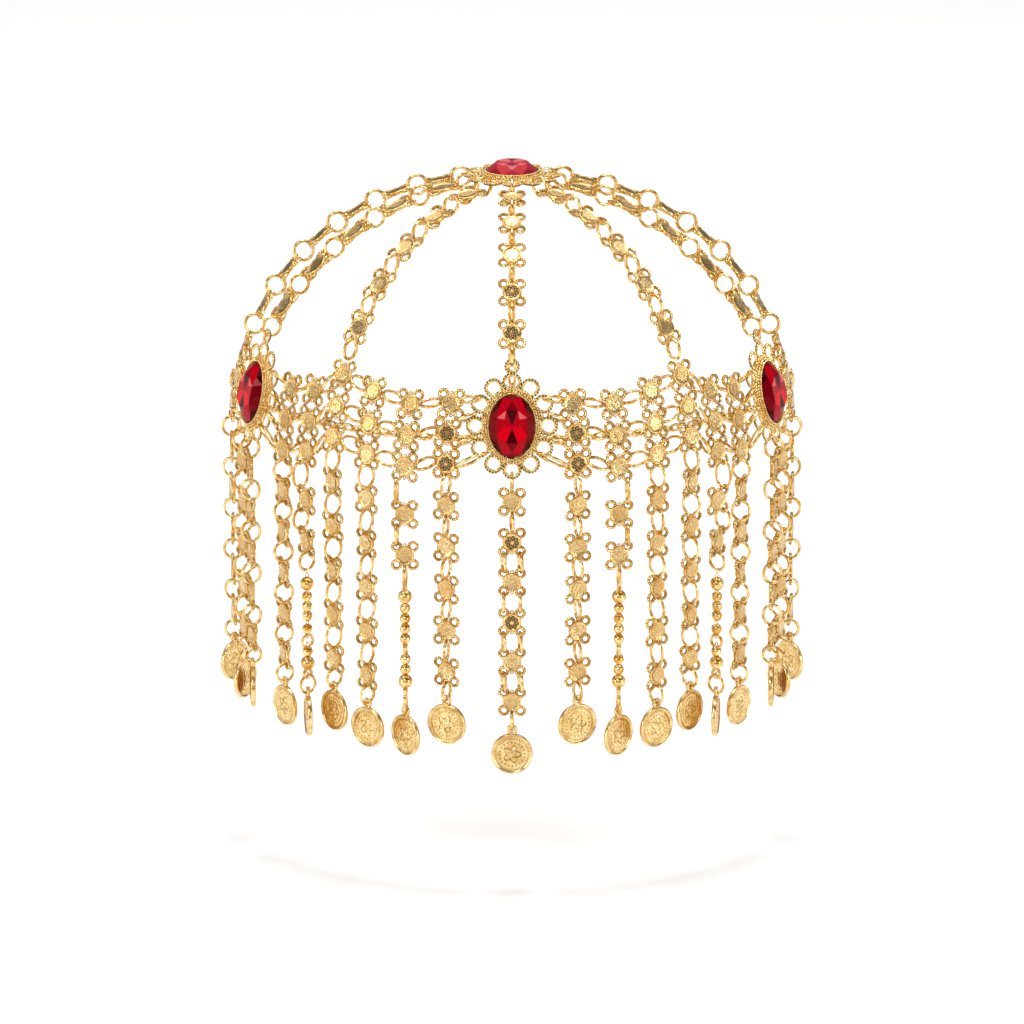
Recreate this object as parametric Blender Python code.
"""Tassel head chain: plate chains over a dome, a pierced brow band and hanging coin tassels.

Metres, +Z up.  The origin is where the crown medallion sits on the head, and the front
looks along -Y.  Azimuths are measured from the front, positive to the wearer's right,
which is -X.
"""
import math

import bmesh
import bpy
import numpy as np
from mathutils import Vector
from mathutils.geometry import delaunay_2d_cdt

for old_object in list(bpy.data.objects):
    bpy.data.objects.remove(old_object, do_unlink=True)

# Dome of the head that the chains lie on
DOME_HALF_WIDTH = 0.0840
DOME_FRONT_DEPTH = 0.0730
DOME_BACK_DEPTH = 0.0950
DOME_HEIGHT = 0.0800
DOME_POWER = 2.2
DOME_TOP = 0.0015

# Clearances
SEAT_GAP = 0.0003
LINK_GAP = 0.0004

# Jump rings and plates
RING_DIAMETER = 0.0057
RING_WIRE = 0.0008
RING_STEPS = 10
RING_SIDES = 5
PLATE_WIDTH = 0.0081
PLATE_THICKNESS = 0.0010
PLATE_END = 0.0009

# Medallions
PETALS = 12
PETAL_RADIUS = 0.0027
PETAL_HOLE = 0.0017
SETTING_THICKNESS = 0.0016
BEZEL_WALL = 0.0009
BEZEL_HEIGHT = 0.0012
TOP_EYE_RADIUS = 0.0023
TOP_EYE_HOLE = 0.0012
EYE_SPACING = 0.0045
MEDALLION_SINK = 0.0006
OVAL_STONE = (0.0130, 0.0180)
OVAL_PETAL_CIRCLE = (0.0208, 0.0250)
ROUND_STONE = (0.0150, 0.0150)
ROUND_PETAL_CIRCLE = (0.0231, 0.0231)
STONE_GIRDLE = 0.0006
STONE_CROWN = 0.0025
STONE_TABLE = 0.56
STONE_SIDES = 16

# Brow band
ROW_PITCH = 0.0090
ROWS = 3
LOOP_GAP = 0.0026
NOTCH_DEPTH = 0.0013
LOOP_CORNER = 0.0007
BAR_WIDTH = 0.0016
HOOK_EYE_HEIGHT = 0.0017
HOOK_EYE_WALL = 0.0008
FRONT_HEIGHT = -0.0559
SIDE_HEIGHT = -0.0573
SIDE_AZIMUTH = 69.0
END_PETALS = (-2, -3, -4)

# Tassels
TASSEL_DIAMETER = 0.0064
COIN_DIAMETER = 0.0120
COIN_THICKNESS = 0.0010
COIN_SIDES = 12
BAIL_WIDTH = 0.0034
BAIL_HEIGHT = 0.0030
BAIL_HOLE = 0.0018

# Plain chains of the back
BACK_CHAIN_DIAMETER = 0.0040
NAPE_HEIGHT = -0.1060

GOLD = (0.83, 0.57, 0.22, 1.0)
RED = (0.45, 0.0, 0.02, 1.0)

# Plates of each dome chain, and how far its middle is drawn back from a straight line
DOME_CHAINS = {
    "columns": ("plates", "drawn_back"),
    "front": (5, 0.0),
    "a": (5, 0.0),
    "b": (5, 0.0),
    "c": (6, 0.0028),
}

# Band columns, from the front medallion outwards: azimuth in degrees, height of the
# middle plate, and whether a dome chain hooks into the top plate.
BAND_COLUMNS = {
    "columns": ("azimuth", "middle_height", "hook_eye"),
    "front": ((14.9, -0.0582, False),
              (24.4, -0.0600, False),
              (33.6, -0.0576, False),
              (42.2, -0.0543, True),
              (49.2, -0.0600, False),
              (56.2, -0.0612, False)),
    "side": ((82.0, -0.0572, True),),
}

# Tassels: azimuth in degrees, height of the coin's centre, and the azimuth that the
# coin's face looks along.
TASSELS = (
    ("azimuth", "coin_height", "coin_azimuth"),
    (0.0, -0.1536, 0.0),
    (14.9, -0.1451, 25.0),
    (24.4, -0.1495, 50.0),
    (33.6, -0.1486, 40.0),
    (42.2, -0.1454, 53.0),
    (49.2, -0.1489, 82.0),
    (56.2, -0.1479, 57.0),
    (69.0, -0.1470, 86.0),
    (75.2, -0.1461, 117.0),
    (82.0, -0.1445, 127.0),
)


def dome_share(x, y):
    """Distance from the dome's axis as a share of the dome's reach in that direction."""
    depth = DOME_FRONT_DEPTH if y < 0 else DOME_BACK_DEPTH
    return math.hypot(x / DOME_HALF_WIDTH, y / depth)


def dome_over(x, y):
    """Point of the dome above a plan position: share^power + rise^power = 1."""
    share = min(dome_share(x, y), 0.9999)
    rise = (1 - share ** DOME_POWER) ** (1 / DOME_POWER)
    return Vector((x, y, DOME_TOP - DOME_HEIGHT + DOME_HEIGHT * rise))


def dome_at(azimuth, height):
    """Point of the dome in a direction, at a height."""
    rise = max(min((height - DOME_TOP + DOME_HEIGHT) / DOME_HEIGHT, 1.0), 0.0)
    share = (1 - rise ** DOME_POWER) ** (1 / DOME_POWER)
    angle = math.radians(azimuth)
    unit = Vector((-math.sin(angle), -math.cos(angle), 0))
    reach = 1 / dome_share(unit.x, unit.y)
    return Vector((unit.x * reach * share, unit.y * reach * share, height))


def dome_normal(point):
    """Outward normal: the slope of share^power + rise^power."""
    depth = DOME_FRONT_DEPTH if point.y < 0 else DOME_BACK_DEPTH
    share = max(dome_share(point.x, point.y), 1e-4)
    rise = max((point.z - DOME_TOP + DOME_HEIGHT) / DOME_HEIGHT, 0.0)
    pull = share ** (DOME_POWER - 2)
    return Vector((pull * point.x / DOME_HALF_WIDTH ** 2,
                   pull * point.y / depth ** 2,
                   rise ** (DOME_POWER - 1) / DOME_HEIGHT)).normalized()


def dome_frame(point):
    """Right, up and outward directions of a piece that lies flat on the dome."""
    outward = dome_normal(point)
    right = Vector((0, 0, 1)).cross(outward).normalized()
    return right, outward.cross(right).normalized(), outward


def make_material(name, colour, roughness, metallic):
    material = bpy.data.materials.new(name)
    material.use_nodes = True
    shader = material.node_tree.nodes["Principled BSDF"]
    shader.inputs["Base Color"].default_value = colour
    shader.inputs["Roughness"].default_value = roughness
    shader.inputs["Metallic"].default_value = metallic
    return material


def add_piece(name, points, faces, colour=GOLD, roughness=0.25, metallic=1.0):
    """A mesh object with its faces pointing out."""
    mesh = bpy.data.meshes.new(name)
    mesh.from_pydata([tuple(point) for point in points], [], faces)
    shell = bmesh.new()
    shell.from_mesh(mesh)
    bmesh.ops.remove_doubles(shell, verts=shell.verts, dist=1e-7)
    bmesh.ops.recalc_face_normals(shell, faces=shell.faces)
    shell.to_mesh(mesh)
    shell.free()
    piece = bpy.data.objects.new(name, mesh)
    bpy.context.scene.collection.objects.link(piece)
    mesh.materials.append(make_material(name, colour, roughness, metallic))
    return piece


def loops_round(spot, loops):
    """How many closed loops a plan position is inside of."""
    count = 0
    for loop in loops:
        inside = False
        for k, (x, y) in enumerate(loop):
            next_x, next_y = loop[(k + 1) % len(loop)]
            if (y > spot[1]) != (next_y > spot[1]):
                crossing = x + (spot[1] - y) / (next_y - y) * (next_x - x)
                inside = inside != (crossing > spot[0])
        count += inside
    return count


def sheet_triangles(loops):
    """Triangles between closed loops of plan points; a loop inside another is a hole."""
    plan = [point for loop in loops for point in loop]
    edges = []
    start = 0
    for loop in loops:
        count = len(loop)
        edges += [(start + k, start + (k + 1) % count) for k in range(count)]
        start += count
    scaled = [Vector((x * 1000, y * 1000)) for x, y in plan]
    _, _, triangles, _, _, _ = delaunay_2d_cdt(scaled, edges, [], 1, 1e-5)
    kept = []
    for triangle in triangles:
        middle = (sum(plan[k][0] for k in triangle) / 3, sum(plan[k][1] for k in triangle) / 3)
        if loops_round(middle, loops) % 2:
            kept.append(tuple(triangle))
    return plan, kept


def walls(low_loop, high_loop):
    """Quads between two loops of point numbers."""
    count = len(low_loop)
    return [(low_loop[k], low_loop[(k + 1) % count], high_loop[(k + 1) % count], high_loop[k])
            for k in range(count)]


def plate_solid(loops, place, low, high):
    """Points and faces of a flat piece with holes, between two levels of its placing."""
    spots, triangles = sheet_triangles(loops)
    count = len(spots)
    points = [place(x, y, low) for x, y in spots] + [place(x, y, high) for x, y in spots]
    faces = list(triangles) + [tuple(count + k for k in triangle) for triangle in triangles]
    rims = {}
    for triangle in triangles:
        for k in range(3):
            edge = (triangle[k], triangle[(k + 1) % 3])
            rims[edge] = edge
    for first, second in rims:
        if (second, first) not in rims:
            faces.append((first, second, count + second, count + first))
    return points, faces


def flat_place(centre, right, up, outward):
    """Placing of a flat piece: across, up and outward from its centre."""
    return lambda x, y, level: centre + right * x + up * y + outward * level


def circle_points(centre, radius, steps, start=0.0, sweep=2 * math.pi):
    """Points along an arc; a whole circle leaves its last point out."""
    whole = abs(sweep - 2 * math.pi) < 1e-9
    last = steps if whole else steps - 1
    return [(centre[0] + radius * math.cos(start + sweep * k / last),
             centre[1] + radius * math.sin(start + sweep * k / last)) for k in range(steps)]


def oval_points(size, steps, grow=0.0):
    """Points of an oval given by its two diameters."""
    return [((size[0] / 2 + grow) * math.cos(2 * math.pi * k / steps),
             (size[1] / 2 + grow) * math.sin(2 * math.pi * k / steps)) for k in range(steps)]


def petal_centres(petal_circle):
    """Petal centres, the first at the top, evenly turned round the oval."""
    turns = [math.pi / 2 - 2 * math.pi * k / PETALS for k in range(PETALS)]
    return [(petal_circle[0] / 2 * math.cos(turn), petal_circle[1] / 2 * math.sin(turn))
            for turn in turns]


def setting_outline(petal_circle, with_eye):
    """Outline round the petals, with a small eye on the top petal where one is needed."""
    outline = []
    centres = petal_centres(petal_circle)
    for k, (x, y) in enumerate(centres):
        if with_eye and k == 0:
            neck = PETAL_RADIUS * 0.55
            lift = y + math.sqrt(PETAL_RADIUS ** 2 - neck ** 2)
            outline += [(-PETAL_RADIUS, y), (-neck, lift)]
            outline += circle_points((0, y + EYE_SPACING), TOP_EYE_RADIUS, 6,
                                     math.radians(210), math.radians(-240))
            outline += [(neck, lift), (PETAL_RADIUS, y)]
        else:
            facing = math.atan2(y, x)
            outline += circle_points((x, y), PETAL_RADIUS, 3,
                                     facing + math.radians(75), math.radians(-150))
        next_x, next_y = centres[(k + 1) % PETALS]
        middle = Vector(((x + next_x) / 2, (y + next_y) / 2))
        valley = middle * (1 - PETAL_RADIUS * 0.45 / middle.length)
        outline.append(tuple(valley))
    return outline


def make_setting(name, stone, petal_circle, with_eye, place):
    """Pierced setting: petals round a flange, and a bezel wall round the stone's seat."""
    outline = setting_outline(petal_circle, with_eye)
    holes = [circle_points(centre, PETAL_HOLE, 6) for centre in petal_centres(petal_circle)]
    if with_eye:
        eye_centre = (0, petal_circle[1] / 2 + EYE_SPACING)
        holes.append(circle_points(eye_centre, TOP_EYE_HOLE, 6))
    bezel_in = oval_points(stone, STONE_SIDES, SEAT_GAP)
    bezel_out = oval_points(stone, STONE_SIDES, SEAT_GAP + BEZEL_WALL)
    top = SETTING_THICKNESS
    rim = SETTING_THICKNESS + BEZEL_HEIGHT
    points = []
    faces = []

    def add_points(plan, level):
        first = len(points)
        points.extend(place(x, y, level) for x, y in plan)
        return list(range(first, first + len(plan)))

    def add_sheet(loops, level):
        spots, triangles = sheet_triangles(loops)
        numbers = add_points(spots, level)
        faces.extend(tuple(numbers[k] for k in triangle) for triangle in triangles)

    add_sheet([outline] + holes, 0.0)
    add_sheet([outline] + holes + [bezel_out, bezel_in], top)
    for loop in [outline] + holes:
        faces.extend(walls(add_points(loop, 0.0), add_points(loop, top)))
    outer_foot = add_points(bezel_out, top)
    outer_rim = add_points(bezel_out, rim)
    inner_rim = add_points(bezel_in, rim)
    inner_foot = add_points(bezel_in, top)
    faces.extend(walls(outer_foot, outer_rim))
    faces.extend(walls(outer_rim, inner_rim))
    faces.extend(walls(inner_rim, inner_foot))
    return add_piece(name, points, faces)


def make_stone(name, stone, place):
    """Cut stone: a girdle, a ring of crown facets and an eight-sided table."""
    base_level = SETTING_THICKNESS + SEAT_GAP
    girdle_level = base_level + STONE_GIRDLE
    table_level = girdle_level + STONE_CROWN
    base = oval_points(stone, STONE_SIDES)
    sides = STONE_SIDES // 2
    table = [(x * STONE_TABLE, y * STONE_TABLE) for x, y in oval_points(stone, STONE_SIDES)[1::2]]
    points = [place(x, y, base_level) for x, y in base]
    points += [place(x, y, girdle_level) for x, y in base]
    points += [place(x, y, table_level) for x, y in table]
    low = list(range(STONE_SIDES))
    girdle = [STONE_SIDES + k for k in low]
    top = [2 * STONE_SIDES + k for k in range(sides)]
    faces = [tuple(reversed(low)), tuple(top)] + walls(low, girdle)
    for k in range(sides):
        before = girdle[2 * k]
        under = girdle[2 * k + 1]
        after = girdle[(2 * k + 2) % STONE_SIDES]
        faces.append((before, under, top[k]))
        faces.append((under, after, top[k]))
        faces.append((top[k], after, top[(k + 1) % sides]))
    return add_piece(name, points, faces, RED, 0.05, 0.0)


def medallion_place(azimuth, height):
    """Placing of a medallion that lies flat on the dome, sunk by its own curve's rise."""
    centre = dome_at(azimuth, height)
    right, up, outward = dome_frame(centre)
    sunk = centre - outward * (MEDALLION_SINK + SETTING_THICKNESS / 2)
    return flat_place(sunk, right, up, outward)


def crown_place(x, y, level):
    """Placing of the crown medallion: flat on the seat, its first petal to the front."""
    return Vector((x, -y, level))


def chain_path(start, end, start_point, end_point, drawn_back, steps=240):
    """Points over the dome along a plan line, eased onto the two hooks."""
    path = []
    for k in range(steps + 1):
        share = k / steps
        spot = start.lerp(end, share)
        point = dome_over(spot.x, spot.y + 4 * share * (1 - share) * drawn_back)
        ease_in = (1 - share) ** 8
        ease_out = share ** 8
        point += (start_point - dome_over(start.x, start.y)) * ease_in
        point += (end_point - dome_over(end.x, end.y)) * ease_out
        path.append(point)
    return path


def walk(path, distance):
    """Point and direction at a distance along a path."""
    left = distance
    for first, second in zip(path, path[1:]):
        step = (second - first).length
        if left <= step or second is path[-1]:
            direction = (second - first).normalized()
            return first + direction * left, direction
        left -= step
    return path[-1], (path[-1] - path[-2]).normalized()


def path_length(path):
    return sum((second - first).length for first, second in zip(path, path[1:]))


def ring_solid(centre, along, outward):
    """A round ring standing in the plane of its chain's direction and the outward one."""
    aside = along.cross(outward).normalized()
    points = []
    faces = []
    for k in range(RING_STEPS):
        turn = 2 * math.pi * (k + 0.5) / RING_STEPS
        spoke = along * math.cos(turn) + outward * math.sin(turn)
        for j in range(RING_SIDES):
            roll = 2 * math.pi * j / RING_SIDES
            reach = RING_DIAMETER / 2 + RING_WIRE / 2 * math.cos(roll)
            points.append(centre + spoke * reach + aside * (RING_WIRE / 2 * math.sin(roll)))
            after = (k + 1) % RING_STEPS
            beside = (j + 1) % RING_SIDES
            faces.append((k * RING_SIDES + j, after * RING_SIDES + j,
                          after * RING_SIDES + beside, k * RING_SIDES + beside))
    return points, faces


def link_plate_outline(length):
    """Outline of a dome plate: an oblong with its corners cut."""
    half = PLATE_WIDTH / 2
    corner = length / 2
    cut = 2 * PLATE_END
    right = [(half, corner - cut), (half - PLATE_END, corner)]
    left = [(-x, y) for x, y in reversed(right)]
    upper = right + left
    return upper + [(-x, -y) for x, y in upper]


def join_solids(solids):
    points = []
    faces = []
    for more_points, more_faces in solids:
        first = len(points)
        points += more_points
        faces += [tuple(first + k for k in face) for face in more_faces]
    return points, faces


def make_plate_chain(name, path, plates):
    """Rings and plates along a path, fused: each ring's wire passes through a plate's end."""
    length = path_length(path)
    span = (length - (plates + 1) * RING_DIAMETER) / plates
    rings = []
    links = []
    for k in range(plates + 1):
        centre, along = walk(path, RING_DIAMETER / 2 + k * (span + RING_DIAMETER))
        outward = dome_normal(centre)
        outward = (outward - along * outward.dot(along)).normalized()
        rings.append(ring_solid(centre, along, outward))
        if k < plates:
            first, _ = walk(path, RING_DIAMETER + k * (span + RING_DIAMETER))
            last, _ = walk(path, RING_DIAMETER + k * (span + RING_DIAMETER) + span)
            middle = (first + last) / 2
            down = (last - first).normalized()
            outward = dome_normal(middle)
            outward = (outward - down * outward.dot(down)).normalized()
            place = flat_place(middle, down.cross(outward), -down, outward)
            outline = link_plate_outline(span + 2 * PLATE_END)
            links.append(plate_solid([outline], place, -PLATE_THICKNESS / 2, PLATE_THICKNESS / 2))
    chain = add_piece(name, *join_solids(rings))
    plates_tool = add_piece(name + "_plates", *join_solids(links))
    plates_tool.hide_render = True
    plates_tool.display_type = "WIRE"
    fuse = chain.modifiers.new("fuse_plates", "BOOLEAN")
    fuse.operation = "UNION"
    fuse.solver = "EXACT"
    fuse.object = plates_tool
    return chain


def column_place(azimuth, middle_height):
    """Placing on the dome of a band column: distance aside, distance up, and level."""
    def place(x, y, level):
        middle = dome_at(azimuth, middle_height)
        right, up, _ = dome_frame(middle)
        turn = math.degrees(math.atan2(-(middle + right * x).x, -(middle + right * x).y))
        point = dome_at(turn, middle_height + y * up.z)
        return point + dome_normal(point) * level
    return place


def band_plate_outline(row):
    """Half-turned outline points of one band plate, its loops meeting those above and below."""
    half = PLATE_WIDTH / 2
    reach = ROW_PITCH / 2
    notch = LOOP_GAP / 2
    shoulder = half - LOOP_CORNER
    bar = BAR_WIDTH / 2
    middle = row * ROW_PITCH
    plan = [(half, bar), (half, reach - LOOP_CORNER), (shoulder, reach), (notch, reach),
            (0.0, reach - NOTCH_DEPTH), (-notch, reach), (-shoulder, reach),
            (-half, reach - LOOP_CORNER), (-half, bar), (-half, -bar),
            (-half, -reach + LOOP_CORNER), (-shoulder, -reach), (-notch, -reach),
            (0.0, -reach + NOTCH_DEPTH), (notch, -reach), (shoulder, -reach),
            (half, -reach + LOOP_CORNER), (half, -bar)]
    return [(x, middle + y) for x, y in plan]


def hook_eye_outlines():
    """Two posts and a bridge that close the top plate's notch into an eye."""
    top = (ROWS - 1) / 2 * ROW_PITCH + ROW_PITCH / 2
    notch = LOOP_GAP / 2
    shoulder = PLATE_WIDTH / 2 - LOOP_CORNER
    inner = top + HOOK_EYE_HEIGHT - HOOK_EYE_WALL
    outer = top + HOOK_EYE_HEIGHT
    right_post = [(shoulder, top), (notch + HOOK_EYE_WALL, outer), (notch, inner), (notch, top)]
    left_post = [(-x, y) for x, y in reversed(right_post)]
    bridge = [(notch, inner), (notch + HOOK_EYE_WALL, outer),
              (-notch - HOOK_EYE_WALL, outer), (-notch, inner)]
    return [right_post, bridge, left_post]


class Sheet:
    """Polygons that share their corner points, turned into one closed curved plate."""

    def __init__(self):
        self.outer = []
        self.inner = []
        self.number = {}
        self.polygons = []

    def point(self, place, x, y):
        outer = place(x, y, PLATE_THICKNESS / 2)
        key = tuple(round(value * 2e5) for value in outer)
        if key not in self.number:
            self.number[key] = len(self.outer)
            self.outer.append(outer)
            self.inner.append(place(x, y, -PLATE_THICKNESS / 2))
        return self.number[key]

    def add_outline(self, place, outline):
        numbers = [self.point(place, x, y) for x, y in outline]
        spots, triangles = sheet_triangles([outline])
        order = {(round(x, 7), round(y, 7)): number for (x, y), number in zip(outline, numbers)}
        for triangle in triangles:
            corners = [spots[k] for k in triangle]
            self.polygons.append(tuple(order[(round(x, 7), round(y, 7))] for x, y in corners))

    def add_bar(self, first, second, third, fourth):
        """A bar between two edges that other outlines already hold."""
        self.polygons.append((first, second, third))
        self.polygons.append((first, third, fourth))

    def solid(self):
        count = len(self.outer)
        faces = [tuple(polygon) for polygon in self.polygons]
        faces += [tuple(count + k for k in reversed(polygon)) for polygon in self.polygons]
        edges = {}
        for polygon in self.polygons:
            for k, first in enumerate(polygon):
                second = polygon[(k + 1) % len(polygon)]
                pair = (min(first, second), max(first, second))
                edges[pair] = edges.get(pair, 0) + 1
        faces += [(first, second, count + second, count + first)
                  for (first, second), uses in edges.items() if uses == 1]
        return self.outer + self.inner, faces


def petal_point(azimuth, height, petal):
    """Middle of a petal of an oval medallion, and the medallion's outward direction."""
    x, y = petal_centres(OVAL_PETAL_CIRCLE)[petal % PETALS]
    place = medallion_place(azimuth, height)
    spot = place(x, y, SETTING_THICKNESS / 2)
    return spot, (place(x, y, SETTING_THICKNESS) - spot).normalized()


def make_band(name, columns, side, ends):
    """One stretch of the band: plates, bars between them, and bars to the medallions.

    ends lists (column number, side of that column, azimuth and height of the medallion).
    """
    sheet = Sheet()
    half = PLATE_WIDTH / 2
    bar = BAR_WIDTH / 2
    rows = [row - (ROWS - 1) / 2 for row in range(ROWS)]
    places = [column_place(side * azimuth, height) for azimuth, height, _ in columns]
    for place, (_, _, with_eye) in zip(places, columns):
        for row in rows:
            sheet.add_outline(place, band_plate_outline(row))
        if with_eye:
            for outline in hook_eye_outlines():
                sheet.add_outline(place, outline)
    for place, next_place in zip(places, places[1:]):
        for row in rows:
            middle = row * ROW_PITCH
            sheet.add_bar(sheet.point(place, -side * half, middle + bar),
                          sheet.point(place, -side * half, middle - bar),
                          sheet.point(next_place, side * half, middle - bar),
                          sheet.point(next_place, side * half, middle + bar))
    for column, aside, azimuth, height in ends:
        place = places[column]
        for row, petal in zip(reversed(rows), END_PETALS):
            middle = row * ROW_PITCH
            root = [sheet.point(place, aside * half, middle + lift) for lift in (bar, -bar)]
            spot, outward = petal_point(side * azimuth, height, petal * aside)
            away = place(aside * half, middle, 0.0) - spot
            away = (away - outward * away.dot(outward)).normalized()
            tip = spot + away * (PETAL_RADIUS + SEAT_GAP)
            upward = outward.cross(away) * -aside
            tip_place = flat_place(tip, away, upward, outward)
            tips = [sheet.point(tip_place, 0.0, lift) for lift in (bar, -bar)]
            sheet.add_bar(root[0], root[1], tips[1], tips[0])
    return add_piece(name, *sheet.solid())


def coin_outlines():
    """Coin disc with flat top for the bail, and the bail's hole."""
    radius = COIN_DIAMETER / 2
    start = math.asin(BAIL_WIDTH / 2 / radius)
    disc = [(radius * math.sin(start + (2 * math.pi - 2 * start) * k / (COIN_SIDES - 1)),
             radius * math.cos(start + (2 * math.pi - 2 * start) * k / (COIN_SIDES - 1)))
            for k in range(COIN_SIDES)]
    foot = radius * math.cos(start)
    top = foot + BAIL_HEIGHT
    bail = [(-BAIL_WIDTH / 2, top - BAIL_WIDTH / 3), (-BAIL_WIDTH / 4, top),
            (BAIL_WIDTH / 4, top), (BAIL_WIDTH / 2, top - BAIL_WIDTH / 3)]
    hole = circle_points((0, top - BAIL_WIDTH / 2), BAIL_HOLE / 2, 6)
    return disc + bail, hole


def make_coin(name, centre, facing):
    """Coin with a bail, hanging straight and turned to face an azimuth."""
    angle = math.radians(facing)
    outward = Vector((-math.sin(angle), -math.cos(angle), 0))
    right = Vector((0, 0, 1)).cross(outward)
    place = flat_place(centre, right, Vector((0, 0, 1)), outward)
    outline, hole = coin_outlines()
    solid = plate_solid([outline, hole], place, -COIN_THICKNESS / 2, COIN_THICKNESS / 2)
    return add_piece(name, *solid)


def make_tube(name, points, diameter):
    """A closed round tube along points, for a chain or a string."""
    curve = bpy.data.curves.new(name, "CURVE")
    curve.dimensions = "3D"
    curve.bevel_depth = diameter / 2
    curve.bevel_resolution = 2
    curve.use_fill_caps = True
    spline = curve.splines.new("POLY")
    spline.points.add(len(points) - 1)
    for spot, point in zip(spline.points, points):
        spot.co = (point.x, point.y, point.z, 1.0)
    tube = bpy.data.objects.new(name, curve)
    bpy.context.scene.collection.objects.link(tube)
    curve.materials.append(make_material(name, GOLD, 0.25, 1.0))
    return tube


def even_points(path, spacing):
    """Evenly spaced points of a path, near a spacing."""
    length = path_length(path)
    steps = max(round(length / spacing), 2)
    return [walk(path, length * k / steps)[0] for k in range(steps + 1)]


def side_name(side):
    return "r" if side > 0 else "l"


def medallion_eye(azimuth, height):
    """Middle of the small eye on top of a medallion, and the hook inside its upper edge."""
    place = medallion_place(azimuth, height)
    rise = OVAL_PETAL_CIRCLE[1] / 2 + EYE_SPACING
    hook = rise + TOP_EYE_HOLE * math.cos(math.pi / 6) - RING_WIRE / 2 - LINK_GAP
    return place(0.0, hook, SETTING_THICKNESS / 2)


def crown_hook(petal):
    """Hook inside the outer edge of a crown petal's hole."""
    x, y = petal_centres(ROUND_PETAL_CIRCLE)[petal]
    reach = math.hypot(x, y)
    hook = reach + PETAL_HOLE * math.cos(math.pi / 6) - RING_WIRE / 2 - LINK_GAP
    return crown_place(x * hook / reach, y * hook / reach, SETTING_THICKNESS / 2)


def column_hook(azimuth, middle_height, side):
    """Hook inside the upper edge of a top plate's eye."""
    place = column_place(side * azimuth, middle_height)
    top = (ROWS - 1) / 2 * ROW_PITCH + ROW_PITCH / 2 + HOOK_EYE_HEIGHT - HOOK_EYE_WALL
    return place(0.0, top - RING_WIRE / 2 - LINK_GAP, 0.0)


def dome_chain(key, end, start_point, end_point):
    """A plate chain from a crown petal to a hook on the band."""
    plates, drawn_back = DOME_CHAINS[key]
    start = Vector((start_point.x, start_point.y))
    finish = Vector((end_point.x, end_point.y))
    path = chain_path(start, finish, start_point, end_point, drawn_back)
    return make_plate_chain("dome_chain_" + key + end, path, plates)


def make_medallions():
    """The crown, front and two side medallions, each with its stone."""
    make_setting("crown_setting", ROUND_STONE, ROUND_PETAL_CIRCLE, False, crown_place)
    make_stone("crown_stone", ROUND_STONE, crown_place)
    spots = (("front", 0.0, FRONT_HEIGHT), ("side_r", SIDE_AZIMUTH, SIDE_HEIGHT),
             ("side_l", -SIDE_AZIMUTH, SIDE_HEIGHT))
    for name, azimuth, height in spots:
        place = medallion_place(azimuth, height)
        make_setting(name + "_setting", OVAL_STONE, OVAL_PETAL_CIRCLE, True, place)
        make_stone(name + "_stone", OVAL_STONE, place)


def make_dome_chains():
    """Seven chains: one to the front, and three down each side."""
    dome_chain("front", "", crown_hook(0), medallion_eye(0.0, FRONT_HEIGHT))
    hooked = [column for column in BAND_COLUMNS["front"] if column[2]][0]
    last = [column for column in BAND_COLUMNS["side"] if column[2]][0]
    for side in (1, -1):
        end = "_" + side_name(side)
        petals = [-side * step % PETALS for step in (1, 2, 3)]
        dome_chain("a", end, crown_hook(petals[0]), column_hook(hooked[0], hooked[1], side))
        dome_chain("b", end, crown_hook(petals[1]),
                   medallion_eye(side * SIDE_AZIMUTH, SIDE_HEIGHT))
        dome_chain("c", end, crown_hook(petals[2]), column_hook(last[0], last[1], side))


def make_bands():
    """The band in four stretches, between and behind the medallions."""
    for side in (1, -1):
        end = side_name(side)
        front = BAND_COLUMNS["front"]
        make_band("band_front_" + end, front, side,
                  [(0, side, 0.0, FRONT_HEIGHT),
                   (len(front) - 1, -side, SIDE_AZIMUTH, SIDE_HEIGHT)])
        make_band("band_side_" + end, BAND_COLUMNS["side"], side,
                  [(0, side, SIDE_AZIMUTH, SIDE_HEIGHT)])


def band_foot(azimuth):
    """Height of the lowest metal above a tassel that hangs at an azimuth."""
    for columns in (BAND_COLUMNS["front"], BAND_COLUMNS["side"]):
        for column_azimuth, middle_height, _ in columns:
            if abs(column_azimuth - azimuth) < 0.1:
                return column_place(azimuth, middle_height)(0.0, -ROWS * ROW_PITCH / 2, 0.0).z
    front = azimuth < SIDE_AZIMUTH / 2
    centre, height = (0.0, FRONT_HEIGHT) if front else (SIDE_AZIMUTH, SIDE_HEIGHT)
    place = medallion_place(centre, height)
    aside = (dome_at(azimuth, height) - dome_at(centre, height)).length
    reach = PETAL_RADIUS + TASSEL_DIAMETER / 2
    lowest = min(y for x, y in petal_centres(OVAL_PETAL_CIRCLE) if abs(x - aside) < reach)
    return place(0.0, lowest - PETAL_RADIUS, 0.0).z + PLATE_THICKNESS / 2


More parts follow.
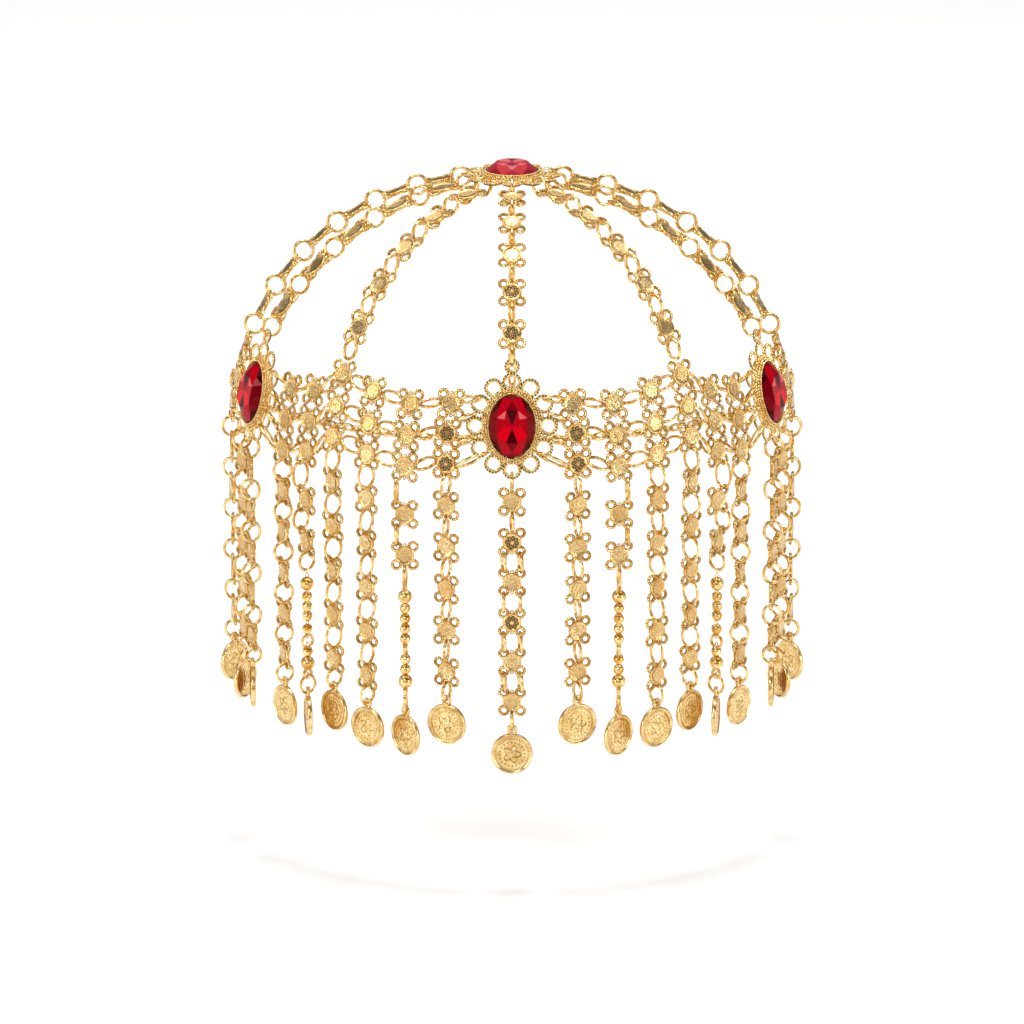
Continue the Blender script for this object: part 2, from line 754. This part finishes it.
def make_tassels():
    """Each tassel: a round stretch for its chain or beads, and a coin with its bail."""
    bail_top = coin_outlines()[0][-2][1]
    hangings = [(side, row) for row in TASSELS[1:] for side in (1, -1) if row[0] or side > 0]
    for number, (side, row) in enumerate(hangings, 1):
        azimuth, coin_height, facing = row
        name = "tassel_%02d" % number
        top = dome_at(side * azimuth, band_foot(azimuth))
        coin_centre = Vector((top.x, top.y, coin_height))
        make_coin(name + "_coin", coin_centre, side * facing)
        high = top - Vector((0, 0, SEAT_GAP + PLATE_THICKNESS / 2))
        low = coin_centre + Vector((0, 0, bail_top + SEAT_GAP))
        make_tube(name + "_chain", even_points([high, low], TASSEL_DIAMETER * 3),
                  TASSEL_DIAMETER)


def make_back():
    """Plain chains that close the ring behind the head."""
    last = BAND_COLUMNS["side"][-1]
    slope = math.atan2(last[1] - NAPE_HEIGHT, DOME_BACK_DEPTH)
    clear = PLATE_WIDTH / 2 + SEAT_GAP + BACK_CHAIN_DIAMETER / 2 * math.sin(slope)
    edge = math.degrees(clear / DOME_HALF_WIDTH)
    first_turn = last[0] + edge
    ear = dome_at(first_turn, last[1])
    nape = Vector((0.0, DOME_BACK_DEPTH, NAPE_HEIGHT))
    widest = DOME_TOP - DOME_HEIGHT
    path = []
    steps = 120
    for k in range(steps + 1):
        azimuth = first_turn + (360 - 2 * first_turn) * k / steps
        height = last[1]
        for again in range(4):
            point = dome_at(azimuth, max(height, widest))
            height = ear.z + (nape.z - ear.z) * (point.y - ear.y) / (nape.y - ear.y)
        path.append(Vector((point.x, point.y, height)))
    make_tube("back_chain", even_points(path, BACK_CHAIN_DIAMETER * 3), BACK_CHAIN_DIAMETER)
    start_y = ROUND_PETAL_CIRCLE[1] / 2 + PETAL_RADIUS + SEAT_GAP
    spine = []
    for k in range(steps + 1):
        share = math.sin(math.pi / 2 * k / steps)
        spine.append(dome_over(0.0, start_y + (DOME_BACK_DEPTH - start_y) * share))
    spine.append(nape + Vector((0, 0, BACK_CHAIN_DIAMETER + SEAT_GAP)))
    make_tube("crown_back_chain", even_points(spine, BACK_CHAIN_DIAMETER * 3), BACK_CHAIN_DIAMETER)


make_medallions()
make_dome_chains()
make_bands()
make_tassels()
make_back()
